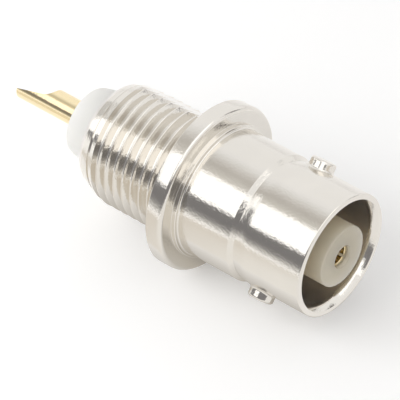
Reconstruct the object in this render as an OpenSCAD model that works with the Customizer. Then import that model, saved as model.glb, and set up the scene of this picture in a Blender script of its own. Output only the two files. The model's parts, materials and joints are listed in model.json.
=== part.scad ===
// Panel-mounting coaxial jack with two bayonet lugs, in millimetres.
// The axis lies along X and +X points out of the mouth. The origin is on the axis, in the plane
// of the flange face that bears on the panel, and +Z is up.

/* [Mating end] */
// Length of the mating end, from the panel face of the flange to the mouth
mating_length = 12.6; // [10:0.1:16]
// Outside diameter that the plug's coupling sleeve turns on
mating_d = 9.65; // [8:0.05:12]
// Wall of the mating end, round the bore that takes the plug's outer contact
mating_wall = 0.765; // [0.5:0.005:1]
// Depth of that bore, from the mouth to the floor round the insulator
mating_bore_depth = 8.4; // [6.8:0.1:9.6]
// Width of the ring of floor between the wall and the insulator's body
floor_width = 0.56; // [0.3:0.02:0.8]
// Widening of the bore at the mouth, on the radius
lead_in_width = 0.33; // [0.15:0.01:0.4]
// Depth of the flared mouth
lead_in_depth = 0.45; // [0.2:0.05:0.8]
// Rounding of the rim's outer edge
rim_round = 0.12; // [0.05:0.01:0.15]

/* [Bayonet lugs] */
// Diameter of each lug
lug_d = 1.96; // [1.6:0.02:2.4]
// Height of each lug over the mating end
lug_height = 0.675; // [0.5:0.025:1]
// Distance from the mouth to the middle of the lugs
lug_setback = 4.36; // [3.4:0.02:5.4]
// Chamfer on the tip of each lug
lug_chamfer = 0.14; // [0.05:0.01:0.25]
// Number of lugs round the mating end
lug_count = 2; // [1, 2, 3, 4]
// Turn of the first lug, the flat and the solder cup from straight up
key_turn = 45; // [0:5:90]

/* [Shoulder] */
// Height of the thicker tube over the mating end, between it and the flange
shoulder_rise = 0.15; // [0.05:0.05:0.5]
// Distance from the mouth to the shoulder
shoulder_setback = 6.3; // [5.4:0.1:7.6]
// Length of the shoulder's sloping step
shoulder_slope = 0.2; // [0.1:0.05:0.4]
// Length of the shallow relief in front of the shoulder
relief_length = 0.9; // [0.5:0.1:1.2]
// Depth of that relief on the radius
relief_depth = 0.07; // [0.02:0.01:0.15]

/* [Flange] */
// Diameter of the round flange
flange_d = 13; // [10.8:0.1:18]
// Thickness of the flange
flange_t = 1.4; // [1:0.1:2]
// Rounding of the flange's front edge
flange_round = 0.35; // [0.1:0.05:0.5]
// Chamfer of the flange's edge on the panel side
flange_chamfer = 0.1; // [0.05:0.05:0.25]
// Height of the raised ring over the shoulder, at the foot of the tube
foot_rise = 0.275; // [0.1:0.025:0.4]
// Length of that ring in front of the flange
foot_t = 0.35; // [0.1:0.05:0.6]
// Radius of the hollow corner between that ring and the tube
foot_fillet = 0.27; // [0.1:0.01:0.4]

/* [Panel thread] */
// Major diameter of the panel thread, 3/8 inch by 32 to the inch
thread_d = 9.5; // [7.6:0.1:12.7]
// Length of the thread behind the flange
thread_length = 6.3; // [5:0.1:12]
// Depth of the flat that stops the jack turning in its panel, below the thread's crest
flat_depth = 0.55; // [0.3:0.05:0.7]
// Wall between the thread's crest and the insulator's body
barrel_wall = 1.25; // [1:0.05:1.6]

/* [Nose] */
// Length of the plain cone behind the thread
nose_length = 2.1; // [1.5:0.1:4]
// Wall at the cone's small end
nose_wall = 0.75; // [0.6:0.05:0.9]

/* [Insulator] */
// Diameter of the insulator where it stands inside the mating end
dielectric_d = 4.76; // [4:0.02:5.2]
// Distance that the insulator stands out of the mouth
dielectric_proud = 0.2; // [0:0.05:0.4]
// Chamfer on the insulator's front edge
dielectric_chamfer = 0.15; // [0.05:0.05:0.3]
// Margin of the hole in the insulator's lip over the socket's bore, on the radius
entry_margin = 0.08; // [0.05:0.01:0.14]
// Widening of that hole from the lip's back to the insulator's face, on the radius
entry_taper = 0.14; // [0.1:0.01:0.3]
// Length of that hole, which is the thickness of the lip in front of the socket
entry_length = 0.3; // [0.2:0.05:0.8]
// Width of the ledge that the insulator's body seats on
ledge_width = 0.3; // [0.2:0.05:0.5]
// Length of the narrower exit behind that ledge
exit_length = 3; // [2:0.1:4]
// Length of the insulator behind the shell
boss_length = 2.5; // [1.5:0.1:4]
// Taper of that length on the radius
boss_taper = 0.58; // [0.2:0.02:0.7]
// Rounding of the insulator's rear edge
boss_round = 0.4; // [0.1:0.05:0.5]

/* [Contact] */
// Bore of the socket
socket_bore_d = 1.4; // [1.1:0.02:1.5]
// Wall of the socket round that bore
socket_wall = 0.2; // [0.16:0.01:0.35]
// Depth of the socket's bore
socket_depth = 5; // [4:0.1:6]
// Width of each slot that makes the socket springy
slot_width = 0.2; // [0.15:0.01:0.24]
// Length of the slots
slot_length = 4.2; // [3:0.1:5]
// Width of the step up from the socket to the stem, which seats in the insulator
seat_width = 0.1; // [0.06:0.01:0.15]
// Distance of that step in front of the panel face
seat_x = 0.5; // [0:0.1:2]
// Height of the barb that keeps the stem in the insulator
barb_height = 0.25; // [0.1:0.05:0.4]
// Length of the barb
barb_length = 0.7; // [0.4:0.1:1]
// Distance of the barb's flat side behind the panel face
barb_setback = 1.5; // [1:0.1:3]
// Length of the contact behind the insulator
tail_length = 6.2; // [5:0.1:9]

/* [Solder cup] */
// Bore of the solder cup
cup_bore_d = 1.3; // [1:0.02:1.5]
// Depth of the solder cup's bore
cup_depth = 4.2; // [3.4:0.1:4.6]
// Depth of the cut at the tip, below the axis
cup_cut_depth = 0.34; // [0.1:0.02:0.5]
// Rise of the cut from the tip to its run-out
cup_cut_rise = 0.54; // [0.2:0.02:0.7]
// Length of the sloping cut, from the tip to its run-out
cup_cut_length = 2.3; // [1.5:0.1:2.6]
// Radius of the cutter that leaves the run-out
cup_cutter_r = 1.05; // [0.8:0.05:1.2]

/* [Clearances] */
// Clearance on the radius between the insulator and the shell
insulator_gap = 0.02; // [0.01:0.01:0.05]
// Clearance on the radius between the socket and the insulator
socket_gap = 0.05; // [0.02:0.01:0.08]
// Clearance on the radius between the stem and the insulator
stem_gap = 0.01; // [0.01:0.01:0.03]
// Clearance between the socket's mouth and the insulator's lip
lip_gap = 0.1; // [0.05:0.05:0.2]

/* [Hidden] */
$fn = 96;

metal = [0.80, 0.79, 0.76];
plastic = [0.91, 0.89, 0.84];
gold = [0.90, 0.72, 0.36];

// Spare length of a cutting solid past the face that it cuts.
over = 1;
// Slope of a drill's point, as its depth for each unit of radius.
drill_slope = 0.3;
// Number of facets in a quarter round.
round_steps = 6;

// Stations along the axis, from the mouth to the tip of the solder cup.
mouth_x = mating_length;
face_x = mouth_x + dielectric_proud;
lip_x = face_x - entry_length;
socket_x = lip_x - lip_gap;
lug_x = mouth_x - lug_setback;
shoulder_x = mouth_x - shoulder_setback;
floor_x = mouth_x - mating_bore_depth;
thread_end_x = -thread_length;
shell_end_x = thread_end_x - nose_length;
ledge_x = shell_end_x + exit_length;
boss_end_x = shell_end_x - boss_length;
tip_x = boss_end_x - tail_length;

// Radii of the shell's outside.
mating_r = mating_d / 2;
shoulder_r = mating_r + shoulder_rise;
foot_r = shoulder_r + foot_rise;
flange_r = flange_d / 2;
thread_r = thread_d / 2;
flat_r = thread_r - flat_depth;

// Radii inside it. The insulator's body goes in through the mating bore, and it leaves the
// barrel its wall.
mating_bore_r = mating_r - mating_wall;
lead_in_r = mating_bore_r + lead_in_width;
body_r = min(mating_bore_r - floor_width, thread_r - barrel_wall);
exit_r = body_r - ledge_width;
nose_r = exit_r + nose_wall;
boss_r = exit_r - boss_taper;
dielectric_r = dielectric_d / 2;
socket_bore_r = socket_bore_d / 2;
entry_r = socket_bore_r + entry_margin;
socket_r = socket_bore_r + socket_wall;
stem_r = socket_r + seat_width;

// A round is no larger than the step that it softens.
foot_fillet_r = min(foot_fillet, foot_rise);
flange_round_r = min(flange_round, (flange_r - foot_r) / 2);

// Points of an arc round centre, from angle a to angle b.
function arc(centre, r, a, b) =
    [for (i = [0 : round_steps])
        centre + r * [cos(a + (b - a) * i / round_steps), sin(a + (b - a) * i / round_steps)]];

// Turns an outline of [radius, distance along the axis] about the X axis.
module turned(outline) {
    rotate([0, 90, 0]) rotate_extrude() polygon(outline);
}

// A cylinder along the axis from x0 to x1.
module rod(x0, x1, r) {
    translate([x0, 0, 0]) rotate([0, 90, 0]) cylinder(h = x1 - x0, r = r);
}

// A drilled hole that starts outside mouth and ends past end in a drill's point.
module drilling(mouth, end, r) {
    way = sign(end - mouth);
    turned([[0, mouth - way * over], [r, mouth - way * over], [r, end], [0, end + way * r * drill_slope]]);
}

// Turns a child that is built toward +Z to the side that the flat faces.
module keyed() {
    rotate([-key_turn, 0, 0]) children();
}

// Outline of the shell's turned outside, from the nose to the mouth.
function shell_outline() = concat(
    [[0, shell_end_x], [nose_r, shell_end_x], [thread_r, thread_end_x], [thread_r, 0],
     [flange_r - flange_chamfer, 0], [flange_r, flange_chamfer]],
    arc([flange_r - flange_round_r, flange_t - flange_round_r], flange_round_r, 0, 90),
    [[foot_r, flange_t]],
    arc([shoulder_r + foot_fillet_r, flange_t + foot_t + foot_fillet_r], foot_fillet_r, 270, 180),
    [[shoulder_r, shoulder_x], [mating_r - relief_depth, shoulder_x + shoulder_slope],
     [mating_r, shoulder_x + shoulder_slope + relief_length]],
    arc([mating_r - rim_round, mouth_x - rim_round], rim_round, 0, 90),
    [[0, mouth_x]]);

// One bayonet lug, rooted in the middle of the mating end's wall.
module lug() {
    root = (mating_bore_r + mating_r) / 2;
    tip = mating_r + lug_height;
    translate([lug_x, 0, root]) cylinder(h = tip - lug_chamfer - root, d = lug_d);
    translate([lug_x, 0, tip - lug_chamfer])
        cylinder(h = lug_chamfer, d1 = lug_d, d2 = lug_d - 2 * lug_chamfer);
}

// One turned piece: mating end, flange, threaded barrel and nose.
module shell() {
    color(metal) difference() {
        union() {
            turned(shell_outline());
            for (i = [0 : lug_count - 1]) keyed() rotate([i * 360 / lug_count, 0, 0]) lug();
        }
        // The flared mouth and the bore round the insulator.
        turned([[0, floor_x], [mating_bore_r, floor_x], [mating_bore_r, mouth_x - lead_in_depth],
                [lead_in_r, mouth_x], [lead_in_r, mouth_x + over], [0, mouth_x + over]]);
        // The stepped bore that holds the insulator.
        rod(ledge_x, floor_x + over, body_r + insulator_gap);
        rod(shell_end_x - over, ledge_x + over, exit_r + insulator_gap);
        // The flat along the thread.
        keyed() translate([shell_end_x - over, -thread_d, flat_r])
            cube([over - shell_end_x, 2 * thread_d, thread_d]);
    }
}

// Outline of the contact's barb, larger by gap except on the flat side that holds.
function barb_outline(gap) =
    [[0, -barb_setback - barb_length], [stem_r + barb_height + gap, -barb_setback - barb_length],
     [stem_r + gap, -barb_setback + gap], [0, -barb_setback + gap]];

// The insulator, pushed in from the mouth until its body seats on the shell's ledge.
module insulator() {
    outline = concat(
        [[0, boss_end_x]],
        arc([boss_r - boss_round, boss_end_x + boss_round], boss_round, 270, 360),
        [[exit_r, shell_end_x], [exit_r, ledge_x], [body_r, ledge_x], [body_r, floor_x],
         [dielectric_r, floor_x], [dielectric_r, face_x - dielectric_chamfer],
         [dielectric_r - dielectric_chamfer, face_x], [0, face_x]]);
    color(plastic) difference() {
        turned(outline);
        rod(boss_end_x - over, seat_x, stem_r + stem_gap);
        rod(seat_x - over, lip_x, socket_r + socket_gap);
        // The funnel that guides the plug's pin into the socket.
        turned([[0, lip_x - over], [entry_r, lip_x - over], [entry_r, lip_x],
                [entry_r + entry_taper, face_x], [entry_r + entry_taper, face_x + over],
                [0, face_x + over]]);
        // The pocket that the barb has bitten.
        turned(barb_outline(stem_gap));
    }
}

// The cutter that opens the solder cup on the side of +Z.
module cup_cutter() {
    slope = atan2(cup_cut_rise, cup_cut_length);
    start = [cup_cut_length, cup_cut_rise - cup_cut_depth];
    centre = start + cup_cutter_r * [-sin(slope), cos(slope)];
    side = 2 * (stem_r + over);
    translate([tip_x, side / 2, 0]) rotate([90, 0, 0]) {
        linear_extrude(side)
            polygon([[-over, -cup_cut_depth - over * tan(slope)], start, centre + [cup_cutter_r, 0],
                     [centre[0] + cup_cutter_r, side], [-over, side]]);
        translate(centre) cylinder(h = side, r = cup_cutter_r);
    }
}

// The centre contact: slotted socket in front, barbed stem, solder cup behind. It is pushed into
// the insulator from behind.
module contact() {
    edge = socket_wall / 3;
    color(gold) difference() {
        union() {
            rod(tip_x, seat_x, stem_r);
            turned([[0, seat_x - over], [socket_r, seat_x - over], [socket_r, socket_x - edge],
                    [socket_r - edge, socket_x], [0, socket_x]]);
            turned(barb_outline(0));
        }
        drilling(socket_x, socket_x - socket_depth, socket_bore_r);
        drilling(tip_x, tip_x + cup_depth, cup_bore_d / 2);
        // Two cuts across the socket leave four springs.
        for (turn = [0, 90]) keyed() rotate([turn, 0, 0])
            translate([socket_x - slot_length, -slot_width / 2, -2 * socket_r])
                cube([slot_length + over, slot_width, 4 * socket_r]);
        keyed() cup_cutter();
    }
}

shell();
insulator();
contact();
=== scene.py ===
"""Looks of a bulkhead coaxial jack: shell, insulator and centre contact, on a pale studio floor.

The axis lies along X and +X points out of the mouth. Lengths are in metres, except where a
docstring or a comment says millimetres.
"""

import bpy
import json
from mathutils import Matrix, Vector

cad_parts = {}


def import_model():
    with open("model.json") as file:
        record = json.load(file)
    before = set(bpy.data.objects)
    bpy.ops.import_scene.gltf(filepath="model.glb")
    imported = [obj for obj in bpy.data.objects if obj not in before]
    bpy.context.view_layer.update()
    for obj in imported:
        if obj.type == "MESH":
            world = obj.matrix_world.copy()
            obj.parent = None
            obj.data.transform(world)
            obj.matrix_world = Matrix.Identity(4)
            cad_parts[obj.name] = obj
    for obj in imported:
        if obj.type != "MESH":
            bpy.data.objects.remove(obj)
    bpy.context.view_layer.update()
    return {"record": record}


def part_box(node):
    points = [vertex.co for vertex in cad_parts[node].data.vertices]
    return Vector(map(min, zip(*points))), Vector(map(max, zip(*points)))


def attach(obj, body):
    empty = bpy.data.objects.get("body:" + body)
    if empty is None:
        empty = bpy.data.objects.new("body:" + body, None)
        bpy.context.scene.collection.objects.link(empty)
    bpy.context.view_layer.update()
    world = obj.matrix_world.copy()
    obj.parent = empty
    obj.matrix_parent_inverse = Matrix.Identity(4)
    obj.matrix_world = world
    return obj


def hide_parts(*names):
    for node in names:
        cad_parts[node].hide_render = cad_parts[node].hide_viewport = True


bl_info = {
    "name": "Panel Coaxial Jack",
    "version": (1, 0, 0),
    "blender": (4, 5, 0),
    "location": "View3D > Sidebar > Jack",
    "description": "Builds a bulkhead coaxial jack with bayonet lugs and a solder-cup contact",
    "category": "Mesh",
}

import json
import math

import bmesh
import bpy
from bpy.props import FloatProperty, FloatVectorProperty, PointerProperty
from mathutils import Matrix, Vector

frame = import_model()

MM = 0.001
MOUNTS = {mount["name"]: mount for mount in frame["record"]["mounts"]}
SHELL_LOW, SHELL_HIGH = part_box("shell")
INSULATOR_LOW, INSULATOR_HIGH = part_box("insulator")
CONTACT_LOW, CONTACT_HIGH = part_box("contact")
FLANGE_RADIUS = SHELL_HIGH[2]
THREAD_RADIUS = MOUNTS["panel_thread"]["dims"]["r_mm"] * MM
THREAD_END = -MOUNTS["panel_thread"]["dims"]["length_mm"] * MM
SOCKET_BORE_RADIUS = MOUNTS["contact_socket"]["dims"]["r_mm"] * MM
SOCKET_BORE_LENGTH = MOUNTS["contact_socket"]["dims"]["length_mm"] * MM
# The side that the first lug, the flat and the solder cup face.
KEY_SIDE = Vector(MOUNTS["panel_flat"]["axis"]).normalized()
FLAT_HEIGHT = Vector(MOUNTS["panel_flat"]["pos_m"]).dot(KEY_SIDE)
LUG_X = MOUNTS["bayonet_lugs"]["pos_m"][0]
LEAD_IN_X = MOUNTS["plug_bore"]["pos_m"][0]


def size(text, value):
    """A length in metres, given in millimetres."""
    return FloatProperty(name=text.split(",")[0], description=text, default=value * MM,
                         unit="LENGTH", precision=5)


def colour(text, value):
    """A colour as linear red, green and blue."""
    return FloatVectorProperty(name=text.split(",")[0], description=text, default=value,
                               subtype="COLOR", size=3, min=0, max=1)


class JackShellSizes(bpy.types.PropertyGroup):
    """Sizes of the shell that the CAD model doesn't carry as a mount or a box."""

    mating_radius: size("Radius of the mating end", 4.825)
    bore_radius: size("Radius of the bore round the insulator", 4.06)
    floor_x: size("Place of the bore's floor, in front of the panel face", 4.2)
    mouth_radius: size("Radius of the flared mouth, inside", 4.39)
    rim_round: size("Rounding of the rim's outer edge", 0.12)
    lug_radius: size("Radius of a bayonet lug", 0.98)
    lug_tip: size("Distance of a lug's tip from the axis", 5.5)
    lug_round: size("Rounding of a lug's tip", 0.2)
    lug_fillet: size("Hollow corner where a lug meets the tube", 0.16)
    mouth_round: size("Rounding between the flared mouth and the bore", 0.7)
    shoulder_radius: size("Radius of the tube between shoulder and flange", 4.975)
    shoulder_x: size("Place of the shoulder, in front of the panel face", 6.3)
    shoulder_slope: size("Length of the shoulder's slope", 0.33)
    relief_length: size("Length of the relief in front of the shoulder", 0.87)
    relief_depth: size("Depth of that relief", 0.13)
    flange_thickness: size("Thickness of the flange", 1.4)
    flange_round: size("Rounding of the flange's front edge", 0.35)
    flange_chamfer: size("Chamfer of the flange on the panel side", 0.1)
    foot_radius: size("Radius of the ring at the foot of the tube", 5.25)
    foot_x: size("Place of that ring's front edge", 1.75)
    pitch: size("Pitch of the panel thread", 25.4 / 32)
    thread_depth: size("Depth of the thread", 0.487)
    crest_width: size("Width of the flat that is left on the thread's rounded crest", 0.03)
    run_in: FloatProperty(name="Thread run-in", default=1.7, min=0, max=2.4,
                          description="Turns of the groove that start on the nose")
    nose_radius: size("Radius of the nose at its small end", 3.95)
    nose_round: size("Rounding of the nose's rear edge", 0.25)
    body_bore_radius: size("Radius of the bore round the insulator's body", 3.52)
    exit_radius: size("Radius of the bore's rear exit", 3.22)
    ledge_x: size("Place of the ledge inside the barrel", -5.4)


class JackInsulatorSizes(bpy.types.PropertyGroup):
    """Sizes of the insulator."""

    front_radius: size("Radius inside the mating end", 2.38)
    front_round: size("Rounding of the front edge", 0.15)
    exit_radius: size("Radius in the shell's rear exit", 3.2)
    boss_radius: size("Radius at the rear end", 2.62)
    boss_round: size("Rounding of the rear edge", 0.4)
    entry_radius: size("Radius of the hole in the lip that lets the plug's pin in", 0.78)
    entry_taper: size("Widening of that hole toward the face", 0.14)
    entry_length: size("Length of that hole", 0.3)
    socket_hole_radius: size("Radius of the hole round the socket", 0.95)
    stem_hole_radius: size("Radius of the hole round the stem", 1.01)
    hole_round: size("Rounding of the other edges", 0.05)
    seat_x: size("Place of the step that the contact seats on", 0.5)
    barb_x: size("Place of the flat side of the barb's pocket", -2.2)
    barb_length: size("Length of that pocket", 0.7)
    barb_height: size("Height of that pocket over the stem's hole", 0.25)


class JackContactSizes(bpy.types.PropertyGroup):
    """Sizes of the centre contact."""

    socket_radius: size("Radius of the socket, outside", 0.9)
    slot_width: size("Width of the socket's slots", 0.2)
    slot_length: size("Length of the socket's slots", 4.2)
    stem_radius: size("Radius of the stem", 1.0)
    edge_round: size("Rounding of the contact's edges", 0.05)
    cup_bore_radius: size("Radius of the solder cup's bore", 0.65)
    cup_depth: size("Depth of the solder cup's bore", 4.2)
    cut_depth: size("Depth of the cup's cut at the tip, below the axis", 0.34)
    cut_rise: size("Rise of that cut to its run-out", 0.54)
    cut_length: size("Length of that cut to its run-out", 2.3)
    cutter_radius: size("Radius of the cutter that leaves the run-out", 1.05)


class JackFinish(bpy.types.PropertyGroup):
    """Colours and gloss of the three finishes, with painted light inside the shell's bore and
    painted shade on the insulator inside the mating end.
    """

    nickel: colour("Nickel plate", (0.79, 0.757, 0.703))
    # Lighter than the nickel outside: painted light that lifts the shade in the bore.
    nickel_painted_light_inside: colour("Nickel plate inside the mating end", (0.87, 0.83, 0.79))
    nickel_roughness: FloatProperty(name="Nickel roughness", default=0.1, min=0, max=1,
                                    description="Roughness of the nickel plate")
    nickel_dullness: FloatProperty(name="Nickel dullness", default=0.3, min=0, max=1,
                                   description="Least roughness inside the mating end")
    nickel_grain: size("Height of the grain in the nickel plate", 0.012)
    plastic: colour("Insulator plastic", (0.84, 0.817, 0.755))
    # Darker and warmer than the plastic outside: painted shade where the shell stands round it.
    plastic_painted_shade: colour("Insulator plastic inside the mating end", (0.74, 0.625, 0.455))
    plastic_roughness: FloatProperty(name="Plastic roughness", default=0.38, min=0, max=1,
                                     description="Roughness of the plastic")
    plastic_depth: size("Depth that light soaks to in the plastic", 6)
    gold: colour("Gold plate", (0.95, 0.81, 0.52))
    gold_roughness: FloatProperty(name="Gold roughness", default=0.12, min=0, max=1,
                                  description="Roughness of the gold plate")
    gold_grain: size("Height of the grain in the gold plate", 0.004)


class JackStudio(bpy.types.PropertyGroup):
    """The camera, the light and the floor."""

    azimuth: FloatProperty(name="Azimuth", default=math.radians(42), subtype="ANGLE",
                           description="Turn of the camera from behind -Y toward +X")
    elevation: FloatProperty(name="Elevation", default=math.radians(43.8), subtype="ANGLE",
                             description="Height angle of the camera")
    roll: FloatProperty(name="Roll", default=math.radians(3.4), subtype="ANGLE",
                        description="Roll of the camera, clockwise")
    distance: size("Distance of the camera from what it aims at", 287.8)
    lens: FloatProperty(name="Lens", default=360, subtype="DISTANCE_CAMERA",
                        description="Focal length of the camera in millimetres")
    fill: FloatProperty(name="Fill light", default=0.75, min=0,
                        description="Strength of the even light from all round")
    front_fill: FloatProperty(name="Front fill", default=0.5, min=0,
                              description="Strength of that light from in front of the mouth")
    floor_lift: FloatProperty(name="Floor lift", default=0.21, min=0,
                              description="Glow that lifts the floor to white where it is seen")
    softbox: FloatProperty(name="Softbox", default=2.0, min=0,
                           description="Brightness of the softbox, where 1 is white")
    gleam: FloatProperty(name="Gleam", default=1.48, min=0,
                         description="Brightness of the softbox as the plate mirrors it")


# ---------------------------------------------------------------------------------------------
# Outlines and meshes


# Steps in a full turn of the shell and the insulator, and degrees to a step of a rounded corner.
CIRCLE_STEPS = 160
CORNER_STEP = 15
# The share of a straight edge that the rounding at one of its ends may use up.
EDGE_SHARE = 0.49
# Below this angle a corner counts as straight, and below this radius a point is on the axis.
STRAIGHT = 1e-4
ON_AXIS = 1e-7
# Edges that turn by more than this stay sharp.
SHARP = math.radians(32)


def rounded(outline):
    """Points of a closed outline of (x, r, rounding), each corner replaced by an arc."""
    points = []
    count = len(outline)
    for i, (x, r, rounding) in enumerate(outline):
        corner = Vector((x, r))
        before = Vector(outline[i - 1][:2]) - corner
        after = Vector(outline[(i + 1) % count][:2]) - corner
        if rounding <= 0:
            points.append(corner)
            continue
        turn = math.pi - before.angle(after)
        reach = min(rounding * math.tan(turn / 2), EDGE_SHARE * before.length,
                    EDGE_SHARE * after.length)
        radius = reach / math.tan(turn / 2)
        start = corner + before.normalized() * reach
        end = corner + after.normalized() * reach
        bisector = (before.normalized() + after.normalized()).normalized()
        centre = corner + bisector * math.hypot(radius, reach)
        steps = max(2, round(math.degrees(turn) / CORNER_STEP))
        for step in range(steps + 1):
            spoke = start - centre
            if turn > STRAIGHT:
                spoke = spoke.slerp(end - centre, step / steps)
            points.append(centre + spoke.normalized() * radius)
    return points


def turned(name, outline, steps=CIRCLE_STEPS):
    """A solid turned about the X axis from a closed outline of (x, r) points."""
    bm = bmesh.new()
    rings = []
    for x, r in outline:
        if r < ON_AXIS:
            rings.append([bm.verts.new((x, 0, 0))] * steps)
            continue
        ring = []
        for i in range(steps):
            turn = math.tau * i / steps
            ring.append(bm.verts.new((x, r * math.cos(turn), r * math.sin(turn))))
        rings.append(ring)
    for first, second in zip(rings, rings[1:] + rings[:1]):
        for i in range(steps):
            j = (i + 1) % steps
            corners = [first[i], second[i], second[j], first[j]]
            corners = [v for k, v in enumerate(corners) if v not in corners[:k]]
            if len(corners) > 2:
                bm.faces.new(corners)
    return finished_mesh(name, bm)


def finished_mesh(name, bm):
    """A linked object that holds the mesh, with the faces of a closed one turned outward."""
    bmesh.ops.recalc_face_normals(bm, faces=bm.faces)
    if bm.calc_volume(signed=True) < 0:
        bmesh.ops.reverse_faces(bm, faces=bm.faces)
    mesh = bpy.data.meshes.new(name)
    bm.to_mesh(mesh)
    bm.free()
    thing = bpy.data.objects.new(name, mesh)
    bpy.context.scene.collection.objects.link(thing)
    return thing


def prism(name, outline, side, width):
    """A bar across the axis whose section is a closed outline of (x, height), turned so that
    its height points to side."""
    bm = bmesh.new()
    across = side.cross(Vector((1, 0, 0)))
    ends = []
    for shift in (-width / 2, width / 2):
        ends.append([bm.verts.new(Vector((x, 0, 0)) + side * height + across * shift)
                     for x, height in outline])
    bm.faces.new(ends[0])
    bm.faces.new(reversed(ends[1]))
    for i in range(len(outline)):
        j = (i + 1) % len(outline)
        bm.faces.new([ends[0][i], ends[1][i], ends[1][j], ends[0][j]])
    return finished_mesh(name, bm)


def cut(target, cutter):
    """Takes the cutter out of the target, and removes it."""
    combine(target, cutter, "DIFFERENCE")


def combine(target, tool, operation):
    """Applies a boolean of the tool to the target, and removes the tool."""
    modifier = target.modifiers.new(operation.lower(), "BOOLEAN")
    modifier.operation = operation
    modifier.solver = "EXACT"
    modifier.object = tool
    apply_modifiers(target)
    bpy.data.objects.remove(tool)


def apply_modifiers(target):
    """Replaces the target's mesh by what its modifiers give."""
    depsgraph = bpy.context.evaluated_depsgraph_get()
    mesh = bpy.data.meshes.new_from_object(target.evaluated_get(depsgraph), depsgraph=depsgraph)
    old = target.data
    target.modifiers.clear()
    target.data = mesh
    mesh.name = old.name
    bpy.data.meshes.remove(old)


def split_faces(target, low, high):
    """Splits the faces between two stations into triangles. Where a union leaves a chain of
    short edges, a plain export could cut both neighbours into the same flat triangle."""
    bm = bmesh.new()
    bm.from_mesh(target.data)
    bmesh.ops.triangulate(bm, faces=[face for face in bm.faces
                                     if low < face.calc_center_median().x < high])
    bm.to_mesh(target.data)
    bm.free()


def smooth(target):
    """Smooth shading in which long faces keep their true normals and sharp edges stay sharp."""
    target.data.shade_smooth()
    target.data.set_sharp_from_angle(angle=SHARP)
    modifier = target.modifiers.new("face normals", "WEIGHTED_NORMAL")
    modifier.mode = "FACE_AREA"
    modifier.keep_sharp = True
    apply_modifiers(target)


def install(thing, node, material):
    """Puts a finished piece in the place of its CAD node."""
    thing.data.materials.clear()
    thing.data.materials.append(material)
    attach(thing, "root")
    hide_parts(node)


# ---------------------------------------------------------------------------------------------
# Finishes


# Grains to the millimetre in each pattern.
TURNING_LINES = 12
PLATE_GRAINS = 5.5
PLATE_WAVES = 0.5
PLATE_CLOUDS = 0.35
MOULD_GRAINS = 9
MOULD_MOTTLE = 0.5
FLOOR_MOTTLE = 0.02
# The turning lines run round the axis, so their grains are long across it.
LINE_STRETCH = (1, 0.03, 0.03)
# Height of the relief that a pattern makes.
LINE_HEIGHT = 0.001 * MM
WAVE_HEIGHT = 0.02 * MM
MOULD_HEIGHT = 0.002 * MM
# Noise keeps mostly between these two values.
NOISE_LOW = 0.3
NOISE_HIGH = 0.7
# How far red, green and blue light soak into the plastic, as shares of its depth.
SOAK = (1.0, 0.98, 0.95)
# The finish inside a bore ends over the stretch from the bore's radius to this many times it.
BORE_BLEND = 1.01


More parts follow.
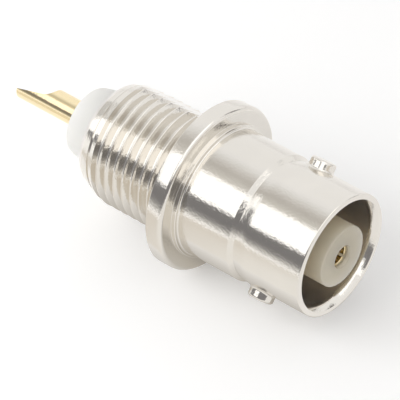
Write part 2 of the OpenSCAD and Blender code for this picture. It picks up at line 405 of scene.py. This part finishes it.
class Shading:
    """The node tree of a material or a world, with short calls for the nodes in it."""

    def __init__(self, owner, shader="Principled BSDF"):
        owner.use_nodes = True
        self.nodes = owner.node_tree.nodes
        self.links = owner.node_tree.links
        self.shader = self.nodes[shader]
        coordinates = self.nodes.new("ShaderNodeTexCoord").outputs
        self.place = coordinates["Object"]
        # From 0 to 1 over an object's box, or the direction that a world is seen in.
        self.generated = coordinates["Generated"]

    def node(self, kind, inputs, **settings):
        """Adds a node. An input is a number or colour, or the output that feeds it."""
        node = self.nodes.new(kind)
        for key, value in settings.items():
            setattr(node, key, value)
        for key, value in inputs.items():
            self.set(node.inputs[key], value)
        return node

    def set(self, socket, value):
        """Links an output to a socket, or sets the socket to a constant."""
        if isinstance(value, bpy.types.NodeSocket):
            self.links.new(value, socket)
        else:
            socket.default_value = value

    def feed(self, **inputs):
        """Sets the shader's sockets, or links outputs to them."""
        for key, value in inputs.items():
            self.set(self.shader.inputs[key.replace("_", " ").title().replace("Ior", "IOR")], value)

    def parts(self, vector):
        """The X, Y and Z of a vector."""
        return self.node("ShaderNodeSeparateXYZ", {"Vector": vector}).outputs

    def maths(self, operation, first, second):
        """The result of an operation on two values."""
        node = self.node("ShaderNodeMath", {0: first, 1: second}, operation=operation)
        return node.outputs["Value"]

    def ranged(self, value, start, end, low=0, high=1, **settings):
        """A value that runs from low to high as another runs from start to end."""
        inputs = {"Value": value, "From Min": start, "From Max": end, "To Min": low, "To Max": high}
        return self.node("ShaderNodeMapRange", inputs, **settings).outputs["Result"]

    def noise(self, per_mm, stretch=(1, 1, 1), detail=2):
        """Noise with about per_mm grains to the millimetre, stretched along the axes."""
        scaled = self.node("ShaderNodeMapping", {"Vector": self.place, "Scale": stretch})
        texture = self.node("ShaderNodeTexNoise", {"Vector": scaled.outputs["Vector"],
                                                   "Scale": per_mm / MM, "Detail": detail})
        return texture.outputs["Fac"]

    def between(self, noise, low, high):
        """A value that runs from low to high as noise runs over its usual values."""
        return self.ranged(noise, NOISE_LOW, NOISE_HIGH, low, high)

    def inside(self, radius):
        """1 at points nearer the axis than that radius, else 0."""
        parts = self.parts(self.place)
        across = self.node("ShaderNodeCombineXYZ", {"Y": parts["Y"], "Z": parts["Z"]})
        length = self.node("ShaderNodeVectorMath", {0: across.outputs["Vector"]},
                           operation="LENGTH")
        return self.ranged(length.outputs["Value"], radius, radius * BORE_BLEND, 1, 0)

    def mixed(self, factor, first, second):
        """A colour between two, each given as a colour or as the output that makes it."""
        inputs = {"Factor": factor}
        for key, end in (("A", first), ("B", second)):
            inputs[key] = end if isinstance(end, bpy.types.NodeSocket) else (*end, 1)
        return self.node("ShaderNodeMix", inputs, data_type="RGBA").outputs["Result"]

    def clouded(self, noise, base, low, high):
        """A colour whose brightness runs from low to high times its own."""
        return self.mixed(self.between(noise, 0, 1), shade(base, low), shade(base, high))

    def bump(self, height, distance, strength, normal=None):
        """Relief of a given height in metres over another relief."""
        inputs = {"Height": height, "Distance": distance, "Strength": strength}
        if normal is not None:
            inputs["Normal"] = normal
        return self.node("ShaderNodeBump", inputs).outputs["Normal"]

    def seen_directly(self):
        """1 for a ray from the camera, a reflection or a transmission, else 0."""
        path = self.node("ShaderNodeLightPath", {}).outputs
        seen = self.maths("MAXIMUM", path["Is Camera Ray"], path["Is Glossy Ray"])
        return self.maths("MAXIMUM", seen, path["Is Transmission Ray"])


def shade(rgb, share):
    """A colour made lighter or darker."""
    return tuple(min(1, channel * share) for channel in rgb)


def plated_metal(name, base, roughness, grain_height, bore=None):
    """Bright plate on turned metal: fine turning lines round the axis, the grain of the plate, a
    slight waviness, and faint clouds in its colour and gloss. bore is the radius, colour and
    least roughness of a bore in which the plate is thin and dull. That colour is lighter than
    the plate's, which is painted light that lifts the bore's shade."""
    material = bpy.data.materials.new(name)
    shading = Shading(material)
    lines = shading.noise(TURNING_LINES, stretch=LINE_STRETCH, detail=3)
    grain = shading.noise(PLATE_GRAINS, detail=4)
    waves = shading.noise(PLATE_WAVES, detail=1)
    clouds = shading.noise(PLATE_CLOUDS, detail=2)
    relief = shading.bump(waves, WAVE_HEIGHT, 0.6)
    relief = shading.bump(grain, grain_height, 0.8, relief)
    relief = shading.bump(lines, LINE_HEIGHT, 0.5, relief)
    gloss = shading.between(grain, roughness * 0.8, roughness * 1.3)
    tone = shading.clouded(clouds, base, 0.98, 1.02)
    # Inside the bore the plate is duller, and its lighter colour there is painted light that lifts
    # the bore's shade.
    if bore:
        radius, painted_light_tone, dullness = bore
        inside = shading.inside(radius)
        gloss = shading.maths("MAXIMUM", gloss, shading.maths("MULTIPLY", inside, dullness))
        tone = shading.mixed(inside, tone, painted_light_tone)
    shading.feed(base_color=tone, roughness=gloss, metallic=1.0, normal=relief)
    return material


def moulded_plastic(name, finish, start):
    """Satin off-white plastic that light soaks into, with faint mottling and a fine grain. In
    front of start, where the shell stands round it, it has a deeper, warmer tone, which is
    painted shade."""
    material = bpy.data.materials.new(name)
    shading = Shading(material)
    roughness = finish.plastic_roughness
    mottle = shading.noise(MOULD_MOTTLE, detail=3)
    grain = shading.noise(MOULD_GRAINS, detail=2)
    # In front of start the tone turns to the painted shade inside the mating end.
    front = shading.ranged(shading.parts(shading.place)["X"], start, start + MM)
    tone = shading.mixed(front, shading.clouded(mottle, finish.plastic, 0.985, 1.01),
                         shading.clouded(mottle, finish.plastic_painted_shade, 0.97, 1.03))
    shading.feed(base_color=tone,
                 roughness=shading.between(grain, roughness * 0.9, roughness * 1.15),
                 subsurface_weight=1.0, subsurface_radius=SOAK,
                 subsurface_scale=finish.plastic_depth, specular_ior_level=0.4,
                 normal=shading.bump(grain, MOULD_HEIGHT, 0.5))
    return material


# ---------------------------------------------------------------------------------------------
# Shell


# Rounding of the edges that have no size of their own and of the end of the relief, and the
# hollow corner where the ring at the foot meets the tube.
FINE_ROUND = 0.03 * MM
RELIEF_ROUND = 4 * MM
FOOT_FILLET = 0.21 * MM
# Steps of the groove in a full turn of the thread, and the lean of the thread's flanks.
THREAD_STEPS = 120
FLANK_ANGLE = math.radians(30)
# Facets of this width round a crest on each side, and lean by this angle from one to the next.
CREST_FACETS = 3
FACET_WIDTH = 0.022 * MM
FACET_LEAN = math.radians(15)
# Height of the groove's section over the crest, in facets, so that it cuts right through.
OVER_CREST = 4
# Turns left plain between groove and flange, turns over which the groove fades out, and how far
# its end is lifted, in depths of the thread.
RUN_OUT = 0.75
FADE_TURNS = 0.3
FADE_LIFT = 1.2
# Steps in a full turn of a lug and in the quarter turn of its roundings.
LUG_STEPS = 72
LUG_ARC_STEPS = 6
# Reach of a lug's hollow corner below the tube's surface, as a share of its size.
LUG_SKIRT = 0.3
# Width of the strips beside the lugs whose faces are split too.
SPLIT_MARGIN = 0.3 * MM


def shell_blank(sizes):
    """The turned blank of the shell, before thread, flat and lugs."""
    fine = FINE_ROUND
    slope_end = sizes.shoulder_x + sizes.shoulder_slope
    outline = rounded([
        (SHELL_LOW[0], sizes.nose_radius, sizes.nose_round),
        (THREAD_END, THREAD_RADIUS, fine),
        (0, THREAD_RADIUS, 0),
        (0, FLANGE_RADIUS - sizes.flange_chamfer, fine),
        (sizes.flange_chamfer, FLANGE_RADIUS, fine),
        (sizes.flange_thickness, FLANGE_RADIUS, sizes.flange_round),
        (sizes.flange_thickness, sizes.foot_radius, fine),
        (sizes.foot_x, sizes.foot_radius, 2 * fine),
        (sizes.foot_x, sizes.shoulder_radius, FOOT_FILLET),
        (sizes.shoulder_x, sizes.shoulder_radius, fine),
        (slope_end, sizes.mating_radius - sizes.relief_depth, fine),
        (slope_end + sizes.relief_length, sizes.mating_radius, RELIEF_ROUND),
        (SHELL_HIGH[0], sizes.mating_radius, sizes.rim_round),
        (SHELL_HIGH[0], sizes.mouth_radius, fine),
        (LEAD_IN_X, sizes.bore_radius, sizes.mouth_round),
        (sizes.floor_x, sizes.bore_radius, fine),
        (sizes.floor_x, sizes.body_bore_radius, fine),
        (sizes.ledge_x, sizes.body_bore_radius, 0),
        (sizes.ledge_x, sizes.exit_radius, 0),
        (SHELL_LOW[0], sizes.exit_radius, 2 * fine),
    ])
    return turned("shell", outline)


def groove_section(sizes):
    """The groove's section as points of (shift along the axis, radius), with facets that round
    the crest on both sides of it."""
    shift = (sizes.pitch - sizes.crest_width) / 2
    edge = shift + FACET_WIDTH * math.cos(FACET_LEAN)
    section = [(edge, THREAD_RADIUS + OVER_CREST * FACET_WIDTH),
               (edge, THREAD_RADIUS + FACET_WIDTH * math.sin(FACET_LEAN))]
    radius = THREAD_RADIUS
    for step in range(1, CREST_FACETS + 1):
        section.append((shift, radius))
        shift -= FACET_WIDTH * math.cos(step * FACET_LEAN)
        radius -= FACET_WIDTH * math.sin(step * FACET_LEAN)
    section.append((shift, radius))
    shift -= (radius - THREAD_RADIUS + sizes.thread_depth) * math.tan(FLANK_ANGLE)
    section.append((shift, THREAD_RADIUS - sizes.thread_depth))
    section.reverse()
    return section + [(-shift, radius) for shift, radius in reversed(section)]


def thread_groove(sizes):
    """The helical groove that is cut for the thread. It runs in from the nose, where it only
    scratches the cone, and fades out just behind the flange."""
    section = groove_section(sizes)
    start = THREAD_END - sizes.run_in * sizes.pitch
    end = -RUN_OUT * sizes.pitch
    turns = (end - start) / sizes.pitch
    steps = math.ceil(turns * THREAD_STEPS)
    bm = bmesh.new()
    rings = []
    for i in range(steps + 1):
        turn = turns * i / steps
        lift = FADE_LIFT * sizes.thread_depth * max(0, 1 - (turns - turn) / FADE_TURNS) ** 2
        angle = math.tau * turn
        ring = []
        for shift, radius in section:
            r = radius + lift
            ring.append(bm.verts.new((start + sizes.pitch * turn + shift,
                                      r * math.cos(angle), r * math.sin(angle))))
        rings.append(ring)
    bm.faces.new(rings[0])
    bm.faces.new(rings[-1])
    count = len(section)
    for first, second in zip(rings, rings[1:]):
        for i in range(count):
            j = (i + 1) % count
            bm.faces.new([first[i], second[i], second[j], first[j]])
    return finished_mesh("groove", bm)


def lug(sizes, side):
    """A bayonet lug that points to side and whose base flares into the tube."""
    tube = sizes.mating_radius
    across = side.cross(Vector((1, 0, 0)))
    tip_round = sizes.lug_round
    fillet = sizes.lug_fillet
    angles = [math.radians(90) * step / LUG_ARC_STEPS for step in range(LUG_ARC_STEPS + 1)]
    # Each entry is a ring's radius and its height, over the tube or from the axis.
    rings = [(sizes.lug_radius + (1 + LUG_SKIRT) * fillet, -LUG_SKIRT * fillet, True)]
    rings += [(sizes.lug_radius + fillet * (1 - math.sin(angle)),
               fillet * (1 - math.cos(angle)), True) for angle in angles]
    rings += [(sizes.lug_radius - tip_round * (1 - math.cos(angle)),
               sizes.lug_tip - tip_round * (1 - math.sin(angle)), False) for angle in angles]
    bm = bmesh.new()
    loops = []
    for radius, height, over_tube in rings:
        loop = []
        for i in range(LUG_STEPS):
            turn = math.tau * i / LUG_STEPS
            along = radius * math.cos(turn)
            aside = radius * math.sin(turn)
            up = height + math.sqrt(tube ** 2 - aside ** 2) if over_tube else height
            loop.append(bm.verts.new(Vector((LUG_X + along, 0, 0)) + across * aside + side * up))
        loops.append(loop)
    for first, second in zip(loops, loops[1:]):
        for i in range(LUG_STEPS):
            j = (i + 1) % LUG_STEPS
            bm.faces.new([first[i], first[j], second[j], second[i]])
    bm.faces.new(loops[-1])
    bm.faces.new(reversed(loops[0]))
    return finished_mesh("lug", bm)


def flat_cutter():
    """The block that is milled away along the thread and the nose."""
    outside = 2 * THREAD_RADIUS
    behind = SHELL_LOW[0] - MM
    outline = [(behind, FLAT_HEIGHT), (0, FLAT_HEIGHT), (0, outside), (behind, outside)]
    return prism("flat", outline, KEY_SIDE, 2 * outside)


class JackBuildShell(bpy.types.Operator):
    """Builds the plated shell with its thread, flat and lugs"""

    bl_idname = "jack.build_shell"
    bl_label = "Build shell"

    def execute(self, context):
        sizes = context.scene.jack_shell
        finish = context.scene.jack_finish
        shell = shell_blank(sizes)
        cut(shell, thread_groove(sizes))
        cut(shell, flat_cutter())
        for side in (KEY_SIDE, -KEY_SIDE):
            combine(shell, lug(sizes, side), "UNION")
        reach = sizes.lug_radius + sizes.lug_fillet + SPLIT_MARGIN
        split_faces(shell, LUG_X - reach, LUG_X + reach)
        smooth(shell)
        # The lighter nickel inside the bore is painted light.
        bore = sizes.bore_radius, finish.nickel_painted_light_inside, finish.nickel_dullness
        material = plated_metal("nickel plate", finish.nickel, finish.nickel_roughness,
                                finish.nickel_grain, bore)
        install(shell, "shell", material)
        return {"FINISHED"}


# ---------------------------------------------------------------------------------------------
# Insulator


class JackBuildInsulator(bpy.types.Operator):
    """Builds the moulded insulator"""

    bl_idname = "jack.build_insulator"
    bl_label = "Build insulator"

    def execute(self, context):
        sizes = context.scene.jack_insulator
        shell = context.scene.jack_shell
        edge = sizes.hole_round
        body_radius = INSULATOR_HIGH[2]
        lip_x = INSULATOR_HIGH[0] - sizes.entry_length
        outline = rounded([
            (INSULATOR_LOW[0], sizes.boss_radius, sizes.boss_round),
            (SHELL_LOW[0], sizes.exit_radius, 0),
            (shell.ledge_x, sizes.exit_radius, 0),
            (shell.ledge_x, body_radius, 0),
            (shell.floor_x, body_radius, edge),
            (shell.floor_x, sizes.front_radius, edge),
            (INSULATOR_HIGH[0], sizes.front_radius, sizes.front_round),
            (INSULATOR_HIGH[0], sizes.entry_radius + sizes.entry_taper, edge),
            (lip_x, sizes.entry_radius, edge / 2),
            (lip_x, sizes.socket_hole_radius, 0),
            (sizes.seat_x, sizes.socket_hole_radius, 0),
            (sizes.seat_x, sizes.stem_hole_radius, 0),
            (sizes.barb_x + sizes.barb_length, sizes.stem_hole_radius, 0),
            (sizes.barb_x, sizes.stem_hole_radius + sizes.barb_height, 0),
            (sizes.barb_x, sizes.stem_hole_radius, 0),
            (INSULATOR_LOW[0], sizes.stem_hole_radius, edge),
        ])
        insulator = turned("insulator", outline)
        smooth(insulator)
        material = moulded_plastic("insulator plastic", context.scene.jack_finish, shell.floor_x)
        install(insulator, "insulator", material)
        return {"FINISHED"}


# ---------------------------------------------------------------------------------------------
# Contact


# Steps in a full turn of the contact, and in the arc that the solder cup's cutter leaves.
CONTACT_STEPS = 96
CUTTER_STEPS = 16
# Depth of the cone that a drill leaves, as a share of its radius.
DRILL_POINT = 0.3


def contact_blank(sizes, insulator):
    """The turned contact with both bores, which seats in the insulator."""
    socket_floor = CONTACT_HIGH[0] - SOCKET_BORE_LENGTH
    cup_floor = CONTACT_LOW[0] + sizes.cup_depth
    edge = sizes.edge_round
    outline = rounded([
        (CONTACT_LOW[0], sizes.stem_radius, edge),
        (insulator.barb_x, sizes.stem_radius, 0),
        (insulator.barb_x, sizes.stem_radius + insulator.barb_height, 0),
        (insulator.barb_x + insulator.barb_length, sizes.stem_radius, 0),
        (insulator.seat_x, sizes.stem_radius, 0),
        (insulator.seat_x, sizes.socket_radius, 0),
        (CONTACT_HIGH[0], sizes.socket_radius, edge),
        (CONTACT_HIGH[0], SOCKET_BORE_RADIUS, edge),
        (socket_floor, SOCKET_BORE_RADIUS, 0),
        (socket_floor - DRILL_POINT * SOCKET_BORE_RADIUS, 0, 0),
        (cup_floor + DRILL_POINT * sizes.cup_bore_radius, 0, 0),
        (cup_floor, sizes.cup_bore_radius, 0),
        (CONTACT_LOW[0], sizes.cup_bore_radius, edge),
    ])
    return turned("contact", outline, CONTACT_STEPS)


def cup_cutter(sizes):
    """The cut that opens the solder cup, with the run-out of a round cutter."""
    tip = CONTACT_LOW[0]
    slope = math.atan2(sizes.cut_rise, sizes.cut_length)
    outside = 2 * sizes.stem_radius
    start = Vector((tip + sizes.cut_length, sizes.cut_rise - sizes.cut_depth))
    centre = start + sizes.cutter_radius * Vector((-math.sin(slope), math.cos(slope)))
    outline = [(tip - MM, -sizes.cut_depth - MM * math.tan(slope))]
    for step in range(CUTTER_STEPS + 1):
        angle = slope - math.pi / 2 + (math.pi / 2 - slope) * step / CUTTER_STEPS
        outline.append((centre.x + sizes.cutter_radius * math.cos(angle),
                        centre.y + sizes.cutter_radius * math.sin(angle)))
    outline += [(centre.x + sizes.cutter_radius, outside), (tip - MM, outside)]
    return prism("cup cut", outline, KEY_SIDE, 2 * outside)


def slot_cutter(sizes, side):
    """A thin saw cut right across the socket."""
    start = CONTACT_HIGH[0] - sizes.slot_length
    end = CONTACT_HIGH[0] + MM
    outside = 2 * sizes.socket_radius
    outline = [(start, -outside), (end, -outside), (end, outside), (start, outside)]
    return prism("slot", outline, side, sizes.slot_width)


class JackBuildContact(bpy.types.Operator):
    """Builds the gold-plated centre contact"""

    bl_idname = "jack.build_contact"
    bl_label = "Build contact"

    def execute(self, context):
        sizes = context.scene.jack_contact
        finish = context.scene.jack_finish
        contact = contact_blank(sizes, context.scene.jack_insulator)
        cut(contact, cup_cutter(sizes))
        for degrees in (0, 90):
            side = Matrix.Rotation(math.radians(degrees), 3, "X") @ KEY_SIDE
            cut(contact, slot_cutter(sizes, side))
        smooth(contact)
        material = plated_metal("gold plate", finish.gold, finish.gold_roughness,
                                finish.gold_grain)
        install(contact, "contact", material)
        return {"FINISHED"}


# ---------------------------------------------------------------------------------------------
# Studio


# The point that the camera aims at.
AIM = Vector((0.40, -0.87, -0.94)) * MM
# The light from all round weakens toward the front between these two, which are the X of the
# direction that it comes from.
FILL_FADE = (-0.3, 0.6)
# The floor: its gap below the flange, the radius and steps of its disc, and the two tones that
# mottle it.
FLOOR_GAP = 0.05 * MM
FLOOR_RADIUS = 2
FLOOR_STEPS = 96
FLOOR_TONES = (0.90, 0.895, 0.89), (0.91, 0.905, 0.90)
# The softbox in millimetres and degrees: its place along X, its distance from the axis and its
# angle from straight up, its length and its height.
SOFTBOX_X, SOFTBOX_REACH, SOFTBOX_ANGLE = -160, 200, -44.5
SOFTBOX_LENGTH, SOFTBOX_HEIGHT = 350, 150
# Height in millimetres of the cards that stand for the floor, with the painted shade and painted
# light on it.
CARD_FLOOR = SHELL_LOW[2] / MM + 0.1
# The part of the room that the plate mirrors as dark, and its darkest part.
DARK = (0.235, 0.23, 0.235)
DARKEST = (0.14, 0.13, 0.13)


def direction(azimuth, elevation):
    """The unit vector from the jack toward a viewer at that azimuth and elevation."""
    return Vector((math.sin(azimuth) * math.cos(elevation),
                   -math.cos(azimuth) * math.cos(elevation), math.sin(elevation)))


def facing(back, roll=0):
    """The rotation of a camera or lamp that looks along -back, rolled clockwise."""
    right = Vector((0, 0, 1)).cross(back).normalized()
    up = back.cross(right)
    turn = Matrix.Rotation(-roll, 3, back)
    axes = Matrix((turn @ right, turn @ up, back)).transposed()
    return axes.to_4x4()


def camera(studio):
    """The camera, at the viewing angle that the studio names."""
    data = bpy.data.cameras.new("camera")
    data.lens = studio.lens
    data.clip_start = 10 * MM
    thing = bpy.data.objects.new("camera", data)
    back = direction(studio.azimuth, studio.elevation)
    place = AIM + back * studio.distance
    thing.matrix_world = Matrix.Translation(place) @ facing(back, studio.roll)
    bpy.context.scene.collection.objects.link(thing)
    bpy.context.scene.camera = thing


def around(reach, degrees):
    """(y, z) in millimetres at that distance from the axis and that angle from straight up,
    toward -Y if less than 0."""
    angle = math.radians(degrees)
    return reach * math.sin(angle), reach * math.cos(angle)


def metres(place):
    """A place in metres, given in millimetres."""
    return Vector([value * MM for value in place])


def softbox(brightness):
    """A rectangular lamp of a given brightness, where 1 looks white. The plate mirrors cards in
    its place."""
    length, height = SOFTBOX_LENGTH * MM, SOFTBOX_HEIGHT * MM
    data = bpy.data.lights.new("softbox", "AREA")
    data.shape = "RECTANGLE"
    data.size = length
    data.size_y = height
    data.energy = brightness * math.pi * length * height
    thing = bpy.data.objects.new("softbox", data)
    place = metres((SOFTBOX_X, *around(SOFTBOX_REACH, SOFTBOX_ANGLE)))
    back = Vector((0, place.y, place.z)).normalized()
    thing.matrix_world = Matrix.Translation(place) @ facing(back)
    thing.visible_camera = False
    thing.visible_glossy = False
    bpy.context.scene.collection.objects.link(thing)


def world(fill, front_fill):
    """Even light from all round, weaker from in front of the mouth. Seen directly or in a
    reflection, the background is white."""
    owner = bpy.data.worlds.new("studio")
    shading = Shading(owner, "Background")
    forward = shading.parts(shading.generated)["X"]
    light = shading.ranged(forward, *FILL_FADE, fill, front_fill, interpolation_type="SMOOTHSTEP")
    strength = shading.node("ShaderNodeMix", {"Factor": shading.seen_directly(),
                                              "A": light, "B": 1})
    shading.feed(color=(1, 1, 1, 1), strength=strength.outputs["Result"])
    bpy.context.scene.world = owner


def floor(lift):
    """A pale floor just under the flange. Seen directly or in a reflection it is lifted to white,
    and it keeps the shadow."""
    bm = bmesh.new()
    bmesh.ops.create_circle(bm, cap_ends=True, segments=FLOOR_STEPS, radius=FLOOR_RADIUS)
    thing = finished_mesh("floor", bm)
    thing.location.z = SHELL_LOW[2] - FLOOR_GAP
    material = bpy.data.materials.new("floor")
    shading = Shading(material)
    mottle = shading.between(shading.noise(FLOOR_MOTTLE), 0, 1)
    shading.feed(base_color=shading.mixed(mottle, *FLOOR_TONES), roughness=0.9,
                 specular_ior_level=0.1, emission_color=(1, 1, 1, 1),
                 emission_strength=shading.maths("MULTIPLY", shading.seen_directly(), lift))
    thing.data.materials.append(material)


def card(name, span, near, far, tones):
    """A card beside the jack. span has its ends along X, and near and far are the (y, z) of its
    long edges, all in millimetres. tones are its colours at shares of its way from -Y to +Y."""
    (x0, x1), (y0, z0), (y1, z1) = span, near, far
    mirrored(name, ((x0, y0, z0), (x1, y0, z0), (x1, y1, z1), (x0, y1, z1)), "Y", tones)


def floor_card(name, span, width, along, tones):
    """A card flat on the floor, with its ends along X and its sides along Y in millimetres.
    tones are its colours at shares of its way along X or Y."""
    (x0, x1), (y0, y1) = span, width
    z = CARD_FLOOR
    mirrored(name, ((x0, y0, z), (x1, y0, z), (x1, y1, z), (x0, y1, z)), along, tones)


def end_card(name, x, low, high, tones):
    """A card across the axis, between two (y, z) corners in millimetres. tones are its colours
    at shares of its height."""
    (y0, z0), (y1, z1) = low, high
    mirrored(name, ((x, y0, z0), (x, y1, z0), (x, y1, z1), (x, y0, z1)), "Z", tones)


def mirrored(name, corners, along, tones):
    """A glowing quad that shows only in reflections, with a ramp of colours along one axis."""
    bm = bmesh.new()
    bm.faces.new([bm.verts.new(metres(corner)) for corner in corners])
    thing = finished_mesh(name, bm)
    material = bpy.data.materials.new(name)
    shading = Shading(material)
    shading.nodes.remove(shading.shader)
    ramp = shading.node("ShaderNodeValToRGB", {"Fac": shading.parts(shading.generated)[along]})
    elements = ramp.color_ramp.elements
    first, *middle, last = tones
    for element, (share, rgb) in zip(list(elements), (first, last)):
        element.position = share
        element.color = (*rgb, 1)
    for share, rgb in middle:
        elements.new(share).color = (*rgb, 1)
    glow = shading.node("ShaderNodeEmission", {"Color": ramp.outputs["Color"]})
    shading.links.new(glow.outputs["Emission"], shading.nodes["Material Output"].inputs["Surface"])
    thing.data.materials.append(material)
    thing.visible_camera = False
    thing.visible_diffuse = False
    thing.visible_transmission = False
    thing.visible_shadow = False


def even(rgb):
    """The tones of a card that has one colour all over."""
    return [(0, rgb), (1, rgb)]


def window_cards(gleam):
    """The softbox as the plate mirrors it, with the gaps that draw dark lines on slopes."""
    white = (gleam,) * 3
    low, high = around(213, -65), around(213, -21.5)
    card("window", (-145, 15), low, high, even(white))
    card("window front", (45, 190), low, high,
         [(0, DARK), (0.2, DARK), (0.35, white), (1, white)])
    card("window end", (190, 330), low, high,
         [(0, DARK), (0.6, DARK), (0.78, white), (1, white)])
    card("gap front", (15, 45), low, high, even(DARK))
    card("gap rear", (-240, -145), low, around(195, -12),
         [(0, DARK), (0.49, DARK), (0.55, white), (1, white)])
    card("window top", (20, 140), around(210, -22), around(210, 34), even(white))


def room_cards():
    """The sides of the room: dark below the softbox and low on the +Y side, paler overhead."""
    near_floor = (0.85, 0.84, 0.82)
    card("dark side", (-600, 600), around(216, -65), (-50, -6.3),
         [(0, DARK), (0.86, DARK), (0.93, (0.4, 0.395, 0.39)), (1, near_floor)])
    card("pale strip", (-150, -133), around(205, -74), (-55, -6.2), even(near_floor))
    card("ceiling", (-330, -20), around(216, -21.5), (114, 183),
         [(0, (0.80, 0.78, 0.74)), (0.18, (0.68, 0.66, 0.63)), (0.34, (0.58, 0.56, 0.53)),
          (0.5, (0.71, 0.69, 0.67)), (0.65, (0.85, 0.85, 0.84)), (0.82, (0.97, 0.97, 0.98)),
          (1, (1, 1, 1))])
    card("dark corner", (92, 134), around(200, 60), around(200, 100),
         [(0, (0.5, 0.49, 0.48)), (0.2, DARKEST), (0.8, DARKEST), (1, (0.4, 0.4, 0.4))])


def floor_cards():
    """Painted shade and painted light on the floor close to the jack, which only the plate
    mirrors: the jack's shadow under and beside it, and a paler floor in front of the mouth.
    """
    pale, faint_shade, deep_shade = (0.97, 0.96, 0.95), (0.965, 0.95, 0.92), (0.84, 0.8, 0.74)
    # Painted shade: the jack's shadow on the floor under and beside it, as the plate mirrors it.
    floor_card("shade under the jack", (-9, 13), (-8, 8), "Y",
               [(0, (0.95, 0.94, 0.93)), (0.25, (0.66, 0.64, 0.61)), (0.35, (0.54, 0.51, 0.46)),
                (0.42, (0.38, 0.36, 0.33)), (0.7, (0.32, 0.3, 0.28)), (1, (0.9, 0.9, 0.9))])
    floor_card("shade beside the jack", (-30, 40), (-34, -8), "X",
               [(0, pale), (0.08, deep_shade), (0.33, deep_shade), (0.5, faint_shade), (1, faint_shade)])
    # Painted light: the floor in front of the mouth, paler than its light makes it.
    floor_card("painted light on the floor in front of the mouth", (13.5, 60), (-20, 40), "Y", even(pale))


def end_cards(gleam):
    """The room in front of the mouth and behind the solder cup."""
    white = (gleam,) * 3
    front, rear = (0.75, 0.69, 0.62), (0.65, 0.64, 0.62)
    end_card("front card", 400, (-270, -6), (270, 170),
             [(0, front), (0.5, front), (1, (1, 1, 1))])
    end_card("rear card", -400, (-150, -6), (150, 150), even(rear))
    end_card("rear window", -395, (-160, 20), (-20, 160), even(white))


class JackBuildStudio(bpy.types.Operator):
    """Sets the floor, the light and the camera"""

    bl_idname = "jack.build_studio"
    bl_label = "Build studio"

    def execute(self, context):
        studio = context.scene.jack_studio
        camera(studio)
        world(studio.fill, studio.front_fill)
        floor(studio.floor_lift)
        softbox(studio.softbox)
        window_cards(studio.gleam)
        room_cards()
        floor_cards()
        end_cards(studio.gleam)
        return {"FINISHED"}


# ---------------------------------------------------------------------------------------------
# Panel and registration


BUILDERS = (JackBuildShell, JackBuildInsulator, JackBuildContact, JackBuildStudio)


class JackPanel(bpy.types.Panel):
    """Lists the jack's builders with their settings, and the finishes"""

    bl_idname = "VIEW3D_PT_jack"
    bl_label = "Panel Jack"
    bl_space_type = "VIEW_3D"
    bl_region_type = "UI"
    bl_category = "Jack"

    def draw(self, context):
        groups = ("jack_shell", "jack_insulator", "jack_contact", "jack_studio")
        for builder, name in zip(BUILDERS, groups):
            box = self.layout.box()
            box.operator(builder.bl_idname)
            group = getattr(context.scene, name)
            for key in group.__annotations__:
                box.prop(group, key)
        for key in context.scene.jack_finish.__annotations__:
            self.layout.prop(context.scene.jack_finish, key)


GROUPS = {
    "jack_shell": JackShellSizes,
    "jack_insulator": JackInsulatorSizes,
    "jack_contact": JackContactSizes,
    "jack_finish": JackFinish,
    "jack_studio": JackStudio,
}


def register():
    for name, group in GROUPS.items():
        bpy.utils.register_class(group)
        setattr(bpy.types.Scene, name, PointerProperty(type=group))
    for builder in BUILDERS:
        bpy.utils.register_class(builder)
    bpy.utils.register_class(JackPanel)


def unregister():
    bpy.utils.unregister_class(JackPanel)
    for builder in reversed(BUILDERS):
        bpy.utils.unregister_class(builder)
    for name, group in reversed(GROUPS.items()):
        delattr(bpy.types.Scene, name)
        bpy.utils.unregister_class(group)


def main():
    register()
    bpy.context.scene.view_settings.view_transform = "Standard"
    bpy.ops.jack.build_shell()
    bpy.ops.jack.build_insulator()
    bpy.ops.jack.build_contact()
    bpy.ops.jack.build_studio()


if __name__ == "__main__":
    main()
